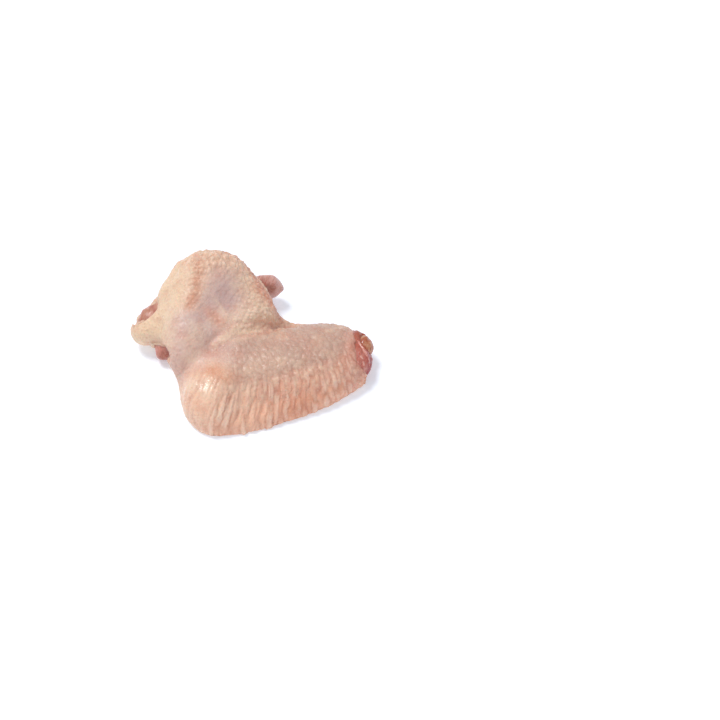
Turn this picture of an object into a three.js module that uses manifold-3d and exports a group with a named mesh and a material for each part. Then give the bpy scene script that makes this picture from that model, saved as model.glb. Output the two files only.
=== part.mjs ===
// Raw chicken wing with its tip removed: the drumette (upper arm) and the flat (forearm), joined at the elbow and
// lying folded in a V, skin side up. Millimetres, +Z up, standing on the plane Z = 0.
//
// The wing is built the way the real one is. A core of flesh runs through it from the shoulder's cut to the wrist's
// cut, a sheath of skin and fat wraps the core, and the knuckle is the cartilage end that the wrist's cut leaves bare.
// Every form is a signed distance, in millimetres and negative inside: muscles are ellipsoids, the spread skin is a
// flat pad with a spline outline, and smooth minimums melt them together. A surface net turns each field into a mesh.
import * as THREE from "three";
import { mergeVertices } from "three/addons/utils/BufferGeometryUtils.js";
import Module from "manifold-3d";

const wasm = await Module();
wasm.setup();

// ---- driving dimensions, mm ----
const SKIN_THICKNESS = 2.4; // skin with the fat under it
const GAP = 0.3; // clearance between the skin and the flesh
const PAD_TOP = 6.5; // height of the spread skin between the muscles
const PAD_UNDER = -4.5; // the pad's lower side, which the plane Z = 0 cuts away
const PAD_ROUND = 5; // radius of its edge
const SKIN_GRID = 2.35; // spacing of the surface nets
const FLESH_GRID = 4.2;
const KNUCKLE_GRID = 1.6;

// ---- distance helpers ----
const melt = (a, b, k) => Math.min(a, b) - Math.max(k - Math.abs(a - b), 0) ** 2 / (4 * k);
const common = (a, b, k) => -melt(-a, -b, k);
const carve = (a, b, k) => common(a, -b, k);
const ramp = (x, from, to) => THREE.MathUtils.smoothstep(x, from, to);

// An ellipsoid with half-axes half, centred at at, turned by yaw about Z after pitch about X and roll about Y.
function muscle({ at, half, yaw = 0, pitch = 0, roll = 0 }) {
  const angles = [pitch, roll, yaw].map(THREE.MathUtils.degToRad);
  const m = new THREE.Matrix4().makeRotationFromEuler(new THREE.Euler(...angles, "ZYX")).transpose().elements;
  const [cx, cy, cz] = at;
  const [rx, ry, rz] = half;
  return (x, y, z) => {
    const dx = x - cx;
    const dy = y - cy;
    const dz = z - cz;
    const u = (m[0] * dx + m[4] * dy + m[8] * dz) / rx;
    const v = (m[1] * dx + m[5] * dy + m[9] * dz) / ry;
    const w = (m[2] * dx + m[6] * dy + m[10] * dz) / rz;
    const near = Math.hypot(u, v, w);
    return near < 1e-6 ? -Math.min(rx, ry, rz) : (near * (near - 1)) / Math.hypot(u / rx, v / ry, w / rz);
  };
}

// Signed distance, in plan, to a closed smooth outline through the given points.
function planDistance(points) {
  const curve = new THREE.CatmullRomCurve3(points.map(([x, y]) => new THREE.Vector3(x, y, 0)), true, "centripetal");
  const ring = curve.getSpacedPoints(120).slice(0, -1);
  return (x, y) => {
    let nearest = Infinity;
    let inside = false;
    ring.forEach((a, i) => {
      const b = ring[(i + 1) % ring.length];
      const ex = b.x - a.x;
      const ey = b.y - a.y;
      const t = THREE.MathUtils.clamp(((x - a.x) * ex + (y - a.y) * ey) / (ex * ex + ey * ey), 0, 1);
      nearest = Math.min(nearest, Math.hypot(x - a.x - ex * t, y - a.y - ey * t));
      if (a.y > y !== b.y > y && x < a.x + (ex * (y - a.y)) / ey) inside = !inside;
    });
    return inside ? -nearest : nearest;
  };
}

// A flat pad from Z = low to Z = high over an outline, with its edges rounded to radius round.
function pad(outline, low, high, round) {
  const middle = (low + high) / 2;
  const half = (high - low) / 2;
  return (x, y, z) => {
    const across = outline(x, y) + round;
    const up = Math.abs(z - middle) - half + round;
    return Math.hypot(Math.max(across, 0), Math.max(up, 0)) + Math.min(Math.max(across, up), 0) - round;
  };
}

// ---- the whole wing's form ----
const spread = planDistance([
  [-13, -37], [-20.5, -34.5], [-26, -27.5], [-29.5, -18.5], [-31.5, -9], [-32, 0], [-35, 12], [-40, 24],
  [-37, 36], [-26, 46], [-12, 49], [1, 43], [11, 36], [17, 30], [23, 25], [36, 23.3], [48, 19], [54.5, 7],
  [54, -4], [47, -10], [29, -23.5], [8, -33],
]);
const forms = [
  muscle({ at: [-27, 20, 13], half: [12, 29, 15], yaw: -6 }), // triceps side of the drumette
  muscle({ at: [-19, 36.5, 16], half: [20.5, 17, 18.3] }), // shoulder
  muscle({ at: [-33.5, 29, 10], half: [9, 10, 10], yaw: 20 }), // shoulder's outer side
  muscle({ at: [-12, 14, 8], half: [15, 24, 13] }), // biceps, under the thin skin of the inner elbow
  muscle({ at: [-2, 30, 10], half: [12, 17, 12], yaw: 30 }), // web of skin over the inner elbow
  muscle({ at: [-14.5, -18.5, 8], half: [13, 15.5, 10], yaw: -8 }), // elbow
  muscle({ at: [19, -2.5, 6], half: [41, 21, 11.5], yaw: 16 }), // forearm
  muscle({ at: [-42, 20.5, 8.3], half: [13.5, 10, 8.4], yaw: 28 }), // flap of shoulder skin
];
const MELT = 8; // mm over which one form runs into the next

// The lines where the skin folds: [from, to, half-width, depth], in plan.
const creases = [
  [[18, 21], [-5, 9], 2.6, 1.4],
  [[-5, 9], [-16, 0], 3, 0.9],
];
// Furrows of the long flight feathers' roots, across the trailing edge: [elbow end, wrist end] of that edge in plan.
const TRAILING = [[-16, -36], [53, -6]];
const FURROW_PITCH = 5;
const FURROW_DEPTH = 0.9;
const FURROW_REACH = 17; // mm in from the edge
const ELBOW_SLANT = 0.9; // run along the edge for each mm across it, at the elbow and at the wrist
const WRIST_SLANT = 0.1;

function creased(x, y) {
  return creases.reduce((deepest, [[ax, ay], [bx, by], width, depth]) => {
    const length = Math.hypot(bx - ax, by - ay);
    const t = THREE.MathUtils.clamp(((x - ax) * (bx - ax) + (y - ay) * (by - ay)) / length ** 2, 0, 1);
    const off = Math.hypot(x - ax - t * (bx - ax), y - ay - t * (by - ay)) / width;
    return Math.max(deepest, depth * Math.exp(-off * off));
  }, 0);
}

// Distance along the trailing edge from the elbow, and in from it.
function alongTrailing(x, y) {
  const [[ax, ay], [bx, by]] = TRAILING;
  const length = Math.hypot(bx - ax, by - ay);
  const [ux, uy] = [(bx - ax) / length, (by - ay) / length];
  return { along: (x - ax) * ux + (y - ay) * uy, inward: (y - ay) * ux - (x - ax) * uy, length };
}

function furrowed(x, y) {
  const { along, inward, length } = alongTrailing(x, y);
  const slant = THREE.MathUtils.lerp(ELBOW_SLANT, WRIST_SLANT, ramp(along, 0, length));
  const phase = (along - slant * inward + 1.3 * Math.sin(along / 8) + 0.6 * Math.sin(inward / 3)) / FURROW_PITCH;
  const groove = (0.5 + 0.5 * Math.cos(2 * Math.PI * phase)) ** 1.3;
  const ends = ramp(along, -2, 6) * (1 - ramp(along, length - 14, length - 2));
  const reach = FURROW_REACH * (1 - 0.4 * ramp(along, 0, length));
  return FURROW_DEPTH * groove * ends * (1 - ramp(inward, reach * 0.3, reach));
}

const padOf = pad(spread, PAD_UNDER, PAD_TOP, PAD_ROUND);

function smoothBody(x, y, z) {
  return forms.reduce((d, form) => melt(d, form(x, y, z), MELT), padOf(x, y, z));
}

function body(x, y, z) {
  const smooth = smoothBody(x, y, z);
  if (Math.abs(smooth) > 6) return smooth;
  return smooth + (creased(x, y) + furrowed(x, y)) * ramp(z, 0, 3);
}

// ---- the cuts ----
const shoulderCut = planDistance([
  [-66, 25], [-53, 24], [-46, 27], [-38, 34], [-29, 41], [-16, 43], [-4, 40], [5, 34.5], [12, 28.5], [18, 27],
  [26, 30], [40, 70], [-14, 90], [-66, 70],
]);
const HOOD_LEAN = 0.5; // the skin reaches this much further back for each mm of height
const HOOD_BASE = 7; // height at which the cut follows its outline
const WRIST_CUT = 48.6; // X of the cut through the wrist
const WRIST_FLAP = 5; // the skin reaches this much further on the trailing side

const ragged = (a, b) => 0.5 * Math.sin(a * 0.9 + 1) + 0.4 * Math.sin(b * 1.3 + a * 0.4);
const shoulderGone = (x, y, z) => shoulderCut(x, y - HOOD_LEAN * (z - HOOD_BASE)) + 0.6 * ragged(x, z);
const wristEdge = (y) => WRIST_CUT - 0.06 * y + WRIST_FLAP * ramp(-y, 4, 8);
const wristGone = (x, y, z) => wristEdge(y) + 0.7 * ragged(y, z) - x;

function sheath(x, y, z) {
  return carve(carve(body(x, y, z), shoulderGone(x, y, z), 1), wristGone(x, y, z), 1);
}

// ---- the flesh ----
const SHOULDER_BULGE = 3; // flesh stands this far out of the cut skin
const WRIST_BULGE = 3.5;
const fleshForms = [
  muscle({ at: [-44, 26, 9], half: [9, 5, 6.5], yaw: 35 }), // slab behind the flap of shoulder skin
  muscle({ at: [-38.7, 8.7, 4.2], half: [6, 5, 4], yaw: 20 }), // lump below the flap
  muscle({ at: [-29, 38, 9], half: [10, 6.5, 8], yaw: 35 }),
  muscle({ at: [-14, 43, 10], half: [10, 6.5, 9], yaw: -10 }),
  muscle({ at: [0, 36, 8], half: [8, 6.5, 7], yaw: -45 }),
  muscle({ at: [5.5, 43, 9.5], half: [9.5, 5, 7.3], yaw: 8, roll: 6 }), // tongue of breast meat
  muscle({ at: [49, 1.8, 6.8], half: [7, 9.5, 6.4] }), // wrist stump
  muscle({ at: [50.3, 12, 8], half: [3.8, 4, 4] }),
];
const knuckleForm = muscle({ at: [51.6, 8.4, 8.4], half: [3.5, 5.2, 3.9], yaw: 20 });

function flesh(x, y, z) {
  const inner = common(smoothBody(x, y, z) + SKIN_THICKNESS, SKIN_THICKNESS - z, 2);
  const core = carve(
    carve(inner, shoulderGone(x, y, z) + SHOULDER_BULGE, 3),
    wristGone(x, y, z) + WRIST_BULGE,
    3,
  );
  return fleshForms.reduce((d, form) => melt(d, form(x, y, z), 2.5), core);
}

// ---- meshing ----
// Naive surface net of a distance field: one vertex in each grid cell that the surface crosses, pulled onto it.
function surfaceNet(field, low, high, step) {
  const n = low.map((l, i) => Math.ceil((high[i] - l) / step) + 1);
  const at = (i, j, k) => i + n[0] * (j + n[1] * k);
  const values = new Float64Array(n[0] * n[1] * n[2]);
  for (let k = 0; k < n[2]; k++)
    for (let j = 0; j < n[1]; j++)
      for (let i = 0; i < n[0]; i++)
        values[at(i, j, k)] = field(low[0] + i * step, low[1] + j * step, low[2] + k * step);
  const positions = [];
  const vertexOf = new Map();
  const corners = [0, 1].flatMap((c) => [0, 1].flatMap((b) => [0, 1].map((a) => [a, b, c])));
  for (let k = 0; k < n[2] - 1; k++)
    for (let j = 0; j < n[1] - 1; j++)
      for (let i = 0; i < n[0] - 1; i++) {
        const v = corners.map(([a, b, c]) => values[at(i + a, j + b, k + c)]);
        if (v.every((d) => d > 0) || v.every((d) => d <= 0)) continue;
        const sum = [0, 0, 0];
        let count = 0;
        corners.forEach((p, m) =>
          corners.forEach((q, l) => {
            const apart = Math.abs(p[0] - q[0]) + Math.abs(p[1] - q[1]) + Math.abs(p[2] - q[2]);
            if (l <= m || apart !== 1 || v[m] > 0 === v[l] > 0) return;
            const t = v[m] / (v[m] - v[l]);
            [0, 1, 2].forEach((s) => (sum[s] += p[s] + t * (q[s] - p[s])));
            count++;
          }),
        );
        vertexOf.set(at(i, j, k), positions.length / 3);
        [i, j, k].forEach((cell, s) => positions.push(low[s] + (cell + sum[s] / count) * step));
      }
  const index = [];
  const quad = (a, b, c, d, flip) => index.push(...(flip ? [a, c, b, a, d, c] : [a, b, c, a, c, d]));
  for (let k = 1; k < n[2] - 1; k++)
    for (let j = 1; j < n[1] - 1; j++)
      for (let i = 1; i < n[0] - 1; i++) {
        const here = values[at(i, j, k)] > 0;
        const cell = (a, b, c) => vertexOf.get(at(i - a, j - b, k - c));
        if (here !== values[at(i + 1, j, k)] > 0)
          quad(cell(0, 1, 1), cell(0, 0, 1), cell(0, 0, 0), cell(0, 1, 0), here);
        if (here !== values[at(i, j + 1, k)] > 0)
          quad(cell(1, 0, 1), cell(1, 0, 0), cell(0, 0, 0), cell(0, 0, 1), here);
        if (here !== values[at(i, j, k + 1)] > 0)
          quad(cell(1, 1, 0), cell(0, 1, 0), cell(0, 0, 0), cell(1, 0, 0), here);
      }
  return { positions, index };
}

// Splits each edge whose middle lies in the given region, and each triangle along with its edges.
function refine({ positions, index }, region) {
  const middles = new Map();
  const middle = (a, b) => {
    const key = Math.min(a, b) * 1e6 + Math.max(a, b);
    if (!middles.has(key)) {
      const point = [0, 1, 2].map((s) => (positions[3 * a + s] + positions[3 * b + s]) / 2);
      middles.set(key, region(...point) ? positions.push(...point) / 3 - 1 : null);
    }
    return middles.get(key);
  };
  const finer = [];
  for (let t = 0; t < index.length; t += 3) {
    const ring = [0, 1, 2].flatMap((s) => [index[t + s], middle(index[t + s], index[t + ((s + 1) % 3)])]);
    const split = [1, 3, 5].filter((s) => ring[s] !== null);
    if (split.length === 3) finer.push(ring[1], ring[3], ring[5]);
    const corner = (s) => ring[(s + 6) % 6];
    if (split.length === 0) finer.push(ring[0], ring[2], ring[4]);
    if (split.length === 1) {
      const [m] = split;
      finer.push(corner(m - 1), corner(m), corner(m + 3), corner(m), corner(m + 1), corner(m + 3));
    } else if (split.length === 2) {
      const whole = [1, 3, 5].find((s) => ring[s] === null); // the edge that stays, from corner whole - 1 on
      const [from, to, apex, next, last] = [-1, 1, 3, 2, 4].map((s) => corner(whole + s));
      finer.push(next, apex, last, from, to, next, from, next, last);
    } else if (split.length === 3) {
      for (const s of [1, 3, 5]) finer.push(corner(s - 2), corner(s - 1), corner(s));
    }
  }
  return { positions, index: finer };
}

// Moves each vertex along the field's slope onto its zero surface, at most reach mm.
function settle({ positions, index }, field, reach) {
  const H = 0.15;
  for (let p = 0; p < positions.length; p += 3) {
    const start = positions.slice(p, p + 3);
    let here = start;
    for (let round = 0; round < 3; round++) {
      const d = field(...here);
      const slope = [0, 1, 2].map((s) => {
        const [ahead, behind] = [H, -H].map((h) => here.map((v, i) => (i === s ? v + h : v)));
        return (field(...ahead) - field(...behind)) / (2 * H);
      });
      const steep = Math.max(Math.hypot(...slope) ** 2, 0.25);
      here = here.map((v, s) => v - (d * slope[s]) / steep);
    }
    const moved = Math.hypot(...here.map((v, s) => v - start[s]));
    const part = Math.min(1, reach / Math.max(moved, 1e-9));
    here.forEach((v, s) => (positions[p + s] = start[s] + part * (v - start[s])));
  }
  return { positions, index };
}

// ---- three.js geometry to and from manifold-3d ----
function geometryFrom({ positions, index }) {
  const geometry = new THREE.BufferGeometry();
  geometry.setAttribute("position", new THREE.Float32BufferAttribute(positions, 3));
  return geometry.setIndex(index);
}

// The same surface moved out along its normals, by as much at every vertex.
function swollen({ positions, index }, by) {
  const geometry = geometryFrom({ positions, index });
  geometry.computeVertexNormals();
  const normals = geometry.getAttribute("normal").array;
  return { positions: positions.map((v, i) => v + by * normals[i]), index };
}

function solid(net) {
  const merged = mergeVertices(net.isBufferGeometry ? net : geometryFrom(net), 1e-4);
  return new wasm.Manifold(
    new wasm.Mesh({
      numProp: 3,
      vertProperties: merged.attributes.position.array,
      triVerts: new Uint32Array(merged.index.array),
    }),
  );
}

function geometryOf(manifold) {
  const mesh = manifold.getMesh();
  const geometry = new THREE.BufferGeometry();
  geometry.setAttribute("position", new THREE.BufferAttribute(mesh.vertProperties, 3));
  geometry.setIndex(new THREE.BufferAttribute(mesh.triVerts, 1));
  geometry.computeVertexNormals();
  return geometry;
}

// Where the meshes are made, and the ground that they stand on.
const LOW = [-62, -46, -12];
const HIGH = [62, 58, 40];
const KNUCKLE_LOW = [44, 1, 2];
const KNUCKLE_HIGH = [60, 16, 16];
const block = new THREE.BoxGeometry(200, 200, 40).translate(0, 0, -20);
const ground = solid(block.deleteAttribute("normal").deleteAttribute("uv"));

// The furrows and creases are finer than the grid, so the mesh is split there before it settles.
function fineRelief(x, y, z) {
  return z > 0.5 && (furrowed(x, y) > 0.12 || creased(x, y) > 0.5);
}
const sheathNet = refine(surfaceNet(sheath, LOW, HIGH, SKIN_GRID), fineRelief);

const knuckleNet = surfaceNet(knuckleForm, KNUCKLE_LOW, KNUCKLE_HIGH, KNUCKLE_GRID);
const fleshNet = surfaceNet(flesh, LOW, HIGH, FLESH_GRID);

const knuckle = solid(knuckleNet);
const core = solid(fleshNet).subtract(solid(swollen(knuckleNet, GAP)));
const skin = solid(settle(sheathNet, sheath, SKIN_GRID / 2))
  .subtract(ground)
  .subtract(solid(swollen(fleshNet, GAP)));

const pieces = {
  skin: [skin, { color: 0xe6bda2, roughness: 0.45, metalness: 0 }],
  flesh: [core, { color: 0xc07a6a, roughness: 0.35, metalness: 0 }],
  knuckle: [knuckle, { color: 0xd9c4b4, roughness: 0.3, metalness: 0 }],
};
const wing = new THREE.Group();
for (const [name, [manifold, look]] of Object.entries(pieces)) {
  const mesh = new THREE.Mesh(geometryOf(manifold), new THREE.MeshStandardMaterial(look));
  mesh.name = name;
  wing.add(mesh);
}
// Its origin is in the middle of its footprint.
const middle = new THREE.Box3().setFromObject(wing).getCenter(new THREE.Vector3());
wing.position.set(-middle.x, -middle.y, 0);

export default wing;
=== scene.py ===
# %% [markdown]
# # A raw chicken wing
# The wing lies on a white table, skin side up: the drumette on the left, the flat on the right, and the
# elbow between them at the front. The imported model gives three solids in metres: a sheath of skin, the flesh
# inside it and the knuckle in the wrist's cut. They are only the right shape and size, so this script gives
# each of them its living surface: goosebumps, furrows, fibres, colour and a wet shine.

# %% Load the frame
import math
from itertools import product

import bpy
import numpy as np
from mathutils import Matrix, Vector
from mathutils.bvhtree import BVHTree
from mathutils.kdtree import KDTree


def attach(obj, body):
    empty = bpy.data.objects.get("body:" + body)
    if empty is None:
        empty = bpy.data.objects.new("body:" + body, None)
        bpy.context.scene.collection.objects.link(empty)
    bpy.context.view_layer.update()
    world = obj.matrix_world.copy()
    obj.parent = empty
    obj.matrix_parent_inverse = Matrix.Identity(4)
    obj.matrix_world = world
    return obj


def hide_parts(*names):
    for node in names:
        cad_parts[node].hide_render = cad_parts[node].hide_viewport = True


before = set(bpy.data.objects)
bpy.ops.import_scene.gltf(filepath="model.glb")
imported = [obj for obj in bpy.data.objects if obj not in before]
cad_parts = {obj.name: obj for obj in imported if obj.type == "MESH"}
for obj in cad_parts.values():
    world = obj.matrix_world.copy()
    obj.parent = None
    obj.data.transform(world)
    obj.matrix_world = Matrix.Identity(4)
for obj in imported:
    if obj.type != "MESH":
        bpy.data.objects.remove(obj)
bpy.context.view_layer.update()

MM = 0.001  # Blender works in metres here, and this script thinks in millimetres

# %% [markdown]
# ## Camera, table and light
# The photograph looks down on the wing at about 50 degrees through a long lens, so the camera stands far away
# and its picture hardly narrows towards the back. The light in the studio is broad and soft, from above and a
# little from the left, and the white table throws much of it back up under the wing.

# %% Camera
ELEVATION = math.radians(50)  # of the view, above the table
LENS = 90.0  # mm
SENSOR = 36.0  # mm wide, as Blender's camera has it
PICTURE = 720  # pixels, the width of the photograph
PIXELS_PER_MM = 2.2  # of the photograph, where the wing lies
AIM = Vector((49.3, 0, 0)) * MM  # the point on the table in the middle of the frame


def photo_camera():
    """Makes the camera and gives how far it stands from the point that it looks at."""
    distance = LENS / SENSOR * PICTURE / PIXELS_PER_MM * MM
    back = Vector((0, -math.cos(ELEVATION), math.sin(ELEVATION)))
    bpy.ops.object.camera_add(location=AIM + distance * back, rotation=(math.pi / 2 - ELEVATION, 0, 0))
    camera = bpy.context.object
    camera.data.lens = LENS
    camera.data.clip_start = 10 * MM
    bpy.context.scene.camera = camera
    return distance


print("the camera stands", round(photo_camera(), 3), "m away")

# %% Table and lights
TABLE_SIZE = 40.0  # metres, so that its end never shows
SKY_COLOUR = (0.97, 0.985, 1.03)  # a little blue, as the shadows on the table are


def table():
    """The table that the wing lies on."""
    bpy.ops.mesh.primitive_plane_add(size=TABLE_SIZE, location=(0, 0, 0))
    top = bpy.context.object
    top.name = "table"
    return top


def soft_light(name, towards, angle, strength):
    """A light in one direction from the wing, as broad as an angle in degrees."""
    bpy.ops.object.light_add(type="SUN", location=towards)
    light = bpy.context.object
    light.name = name
    light.rotation_euler = Vector(towards).to_track_quat("Z", "Y").to_euler()
    light.data.angle = math.radians(angle)
    light.data.energy = strength


def sky(strength):
    """Light from all round, which softens every shadow."""
    world = bpy.data.worlds.new("studio")
    world.use_nodes = True
    background = world.node_tree.nodes["Background"]
    background.inputs["Color"].default_value = (*SKY_COLOUR, 1)
    background.inputs["Strength"].default_value = strength
    bpy.context.scene.world = world


floor = table()
soft_light("key", towards=(-0.4, 0.38, 1.0), angle=22, strength=1.78)
soft_light("fill", towards=(0.5, -0.9, 0.6), angle=60, strength=0.5)
sky(strength=0.44)
bpy.context.scene.view_settings.view_transform = "Standard"

# %% [markdown]
# ## Shader maths as Python
# A material in Blender is a graph of nodes. Wrapping a node's socket in a small class lets Python's own
# operators add the Math nodes, so that a mask reads like the formula that it is.

# %% A socket that does sums, and the material that holds it
MIX_FROM, MIX_TO, MIX_RESULT = 6, 7, 2  # the colour sockets among all those of a Mix node


class Amount:
    """One number that may change over the surface."""

    def __init__(self, finish, socket):
        self.finish = finish
        self.socket = socket

    def _math(self, operation, *values):
        return self.finish.node("ShaderNodeMath", {"operation": operation}, dict(enumerate(values)))

    def __add__(self, other):
        return self._math("ADD", self, other)

    def __rsub__(self, other):
        return self._math("SUBTRACT", other, self)

    def __mul__(self, other):
        return self._math("MULTIPLY", self, other)

    __radd__ = __add__
    __rmul__ = __mul__

    def between(self, low, high):
        """0 at low, 1 at high, and smooth in the middle. It falls where low is the larger."""
        return self.finish.node(
            "ShaderNodeMapRange",
            {"interpolation_type": "SMOOTHSTEP"},
            {"Value": self, "From Min": low, "From Max": high},
        )


class Finish:
    """A material in the making."""

    def __init__(self, name):
        self.material = bpy.data.materials.new(name)
        self.material.use_nodes = True
        self.tree = self.material.node_tree
        self.shader = self.tree.nodes["Principled BSDF"]

    def node(self, kind, settings=None, inputs=None, output=0):
        """Adds a node, fills in its settings and inputs, and gives one of its outputs."""
        made = self.tree.nodes.new(kind)
        for key, value in (settings or {}).items():
            setattr(made, key, value)
        for key, value in (inputs or {}).items():
            self.plug(made.inputs[key], value)
        return Amount(self, made.outputs[output])

    def plug(self, socket, value):
        if isinstance(value, Amount):
            self.tree.links.new(value.socket, socket)
        elif socket.type == "RGBA":
            socket.default_value = (*value, 1)
        else:
            socket.default_value = value

    def place(self):
        """Where a point is on the wing, the same in every view."""
        return self.node("ShaderNodeTexCoord", output="Object")

    def painted(self, name, output="Fac"):
        """What paint() has kept at each point under a name."""
        return self.node("ShaderNodeAttribute", {"attribute_name": name}, output=output)

    def stretched(self, place, size, turn=(0, 0, 0)):
        """Object coordinates in which one unit is size mm, along axes turned in degrees."""
        turned = [math.radians(angle) for angle in turn]
        scale = [length * MM for length in size]
        return self.node(
            "ShaderNodeMapping",
            {"vector_type": "TEXTURE"},
            {"Vector": place, "Rotation": turned, "Scale": scale},
        )

    def cloudy(self, place, detail=3, roughness=0.55):
        """Soft clouds, from 0 to 1."""
        inputs = {"Vector": place, "Scale": 1, "Detail": detail, "Roughness": roughness}
        return self.node("ShaderNodeTexNoise", None, inputs)

    def pebbly(self, place):
        """How far a point is from the middle of its pebble."""
        return self.node("ShaderNodeTexVoronoi", None, {"Vector": place, "Scale": 1})

    def tinted(self, colour, tint, amount):
        """One colour changed towards another by an amount."""
        mixer = self.tree.nodes.new("ShaderNodeMix")
        mixer.data_type = "RGBA"
        self.plug(mixer.inputs["Factor"], amount)
        self.plug(mixer.inputs[MIX_FROM], colour)
        self.plug(mixer.inputs[MIX_TO], tint)
        return Amount(self, mixer.outputs[MIX_RESULT])

    def bumpy(self, height, depth):
        """A bump of height 0 to 1 that stands depth mm high."""
        inputs = {"Height": height, "Strength": 1.0, "Distance": depth * MM}
        return self.node("ShaderNodeBump", None, inputs)

    def done(self, **sockets):
        """Fills in the Principled shader, with _ for each space in a socket's name."""
        for name, value in sockets.items():
            self.plug(self.shader.inputs[name.replace("_", " ")], value)
        return self.material


def srgb(red, green, blue):
    """A colour as a screen names it, 0 to 255, turned into light."""
    shares = [c / 255 for c in (red, green, blue)]
    return tuple(c / 12.92 if c <= 0.04045 else ((c + 0.055) / 1.055) ** 2.4 for c in shares)


def table_paint():
    """White with a light of its own, so that the table stays as bright as in the photograph."""
    paint = Finish("white_table")
    return paint.done(
        Base_Color=srgb(237, 245, 255),
        Roughness=0.6,
        Specular_IOR_Level=0.2,
        Emission_Color=(0.9, 0.94, 1),
        Emission_Strength=0.3,
    )


floor.data.materials.append(table_paint())
print("table and lights are in place")

# %% [markdown]
# ## Hands for the clay
# Each solid is copied, its loose triangles are merged, and a voxel remesh turns it into an even skin of small
# faces, as a sculptor would before working in detail. After that every wrinkle is a height at each point, and
# the point moves that far along its own normal. The heights come from formulas, so the same wing grows on
# every run.

# %% Selecting and finishing as by hand
WELD = 0.001  # mm between points that are one


def only(piece):
    """Selects one piece and nothing else."""
    bpy.ops.object.select_all(action="DESELECT")
    piece.select_set(True)
    bpy.context.view_layer.objects.active = piece


def finish_with(piece, kind, **settings):
    """Adds a modifier and applies it at once."""
    only(piece)
    bpy.ops.object.modifier_add(type=kind)
    modifier = piece.modifiers[-1]
    for key, value in settings.items():
        setattr(modifier, key, value)
    bpy.ops.object.modifier_apply(modifier=modifier.name)


def edit(piece, *steps):
    """Runs steps in edit mode, each one an operator with its settings."""
    only(piece)
    bpy.ops.object.mode_set(mode="EDIT")
    bpy.ops.mesh.select_mode(type="FACE")
    for operator, settings in steps:
        operator(**settings)
    bpy.ops.object.mode_set(mode="OBJECT")


def evened(piece, voxel, smoothing):
    """Remakes a mesh with even faces of voxel mm, and smooths it that many times."""
    finish_with(piece, "REMESH", mode="VOXEL", voxel_size=voxel * MM, use_smooth_shade=True)
    finish_with(piece, "SMOOTH", factor=0.5, iterations=smoothing)


def clay(node, name, voxel, smoothing):
    """A copy of a CAD node as one even mesh with faces of voxel mm, its facets smoothed away."""
    piece = bpy.data.objects.new(name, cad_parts[node].data.copy())
    bpy.context.collection.objects.link(piece)
    piece.data.materials.clear()
    edit(
        piece,
        (bpy.ops.mesh.select_all, {"action": "SELECT"}),
        (bpy.ops.mesh.remove_doubles, {"threshold": WELD * MM}),
    )
    evened(piece, voxel, smoothing)
    print(name, "starts with", len(piece.data.polygons), "faces")
    return piece


# %% Reading a mesh and moving its points
def points(piece):
    """Where each point is, in mm."""
    xyz = np.empty(3 * len(piece.data.vertices), np.float32)
    piece.data.vertices.foreach_get("co", xyz)
    return xyz.reshape(-1, 3).astype(float) / MM


def facing(piece):
    """Each point's normal."""
    xyz = np.empty(3 * len(piece.data.vertices), np.float32)
    piece.data.vertex_normals.foreach_get("vector", xyz)
    return xyz.reshape(-1, 3).astype(float)


def put(piece, xyz):
    """Puts each point where xyz says, in mm."""
    piece.data.vertices.foreach_set("co", (xyz * MM).astype(np.float32).ravel())
    piece.data.update()


def sculpt(piece, height):
    """Moves each point along its normal by its height in mm, and never into the table."""
    moved = points(piece) + facing(piece) * height[:, None]
    moved[:, 2] = np.maximum(moved[:, 2], 0)
    put(piece, moved)


def push(piece, move, amount):
    """Moves each point by a vector in mm times its own amount from 0 to 1."""
    put(piece, points(piece) + amount[:, None] * np.array(move))


def paint(piece, name, amount):
    """Keeps a number or a colour at each point, for the material to read."""
    coloured = amount.ndim == 2
    layer = piece.data.attributes.new(name, "FLOAT_COLOR" if coloured else "FLOAT", "POINT")
    if coloured:
        opaque = np.hstack([amount, np.ones((len(amount), 1))])
        layer.data.foreach_set("color", opaque.astype(np.float32).ravel())
    else:
        layer.data.foreach_set("value", amount.astype(np.float32))


# %% Ramps, paths and scattered cells
def ramp(x, low, high):
    """0 below low, 1 above high, and smooth in the middle."""
    t = np.clip((x - low) / (high - low), 0, 1)
    return t * t * (3 - 2 * t)


def bell(distance, width):
    """1 at no distance, fading over a width."""
    return np.exp(-((distance / width) ** 2))


def near(xyz, path, width):
    """1 on a path of points in mm, fading over width mm. Points with two numbers are a path in plan."""
    stops = np.array(path, float)
    place = xyz[:, : stops.shape[1]]
    nearest = np.full(len(xyz), np.inf)
    for a, b in zip(stops[:-1], stops[1:]):
        t = np.clip((place - a) @ (b - a) / max((b - a) @ (b - a), 1e-9), 0, 1)
        nearest = np.minimum(nearest, np.linalg.norm(place - a - t[:, None] * (b - a), axis=1))
    return bell(nearest, width)


def spot(xyz, centre, width):
    """1 at a centre, fading over width mm."""
    return near(xyz, [centre, centre], width)


# A sine times a large number has decimals that look random, and these only have to be uneven.
CELL_MIX = np.array([127.1, 311.7, 74.7])
SEED_MIX = 17.3
LOT_MIX = [1, 1.37, 1.91]
SCRAMBLE = 43758.5453


def scatter(cell, seed):
    """Three numbers from 0 to 1 for each cell of a grid, that look random and are always the same."""
    mixed = cell @ CELL_MIX[: cell.shape[1]] + SEED_MIX * seed
    return np.modf(np.abs(np.sin(mixed[:, None] * LOT_MIX) * SCRAMBLE))[0]


def noise(place, seed):
    """Smooth noise from -1 to 1, one swell for each unit."""
    base = np.floor(place)
    part = place - base
    part = part * part * (3 - 2 * part)
    total = 0
    for corner in product((0, 1), repeat=place.shape[1]):
        weight = np.prod(np.where(corner, part, 1 - part), axis=1)
        total = total + weight * scatter(base + corner, seed)[:, 0]
    return 2 * total - 1


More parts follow.
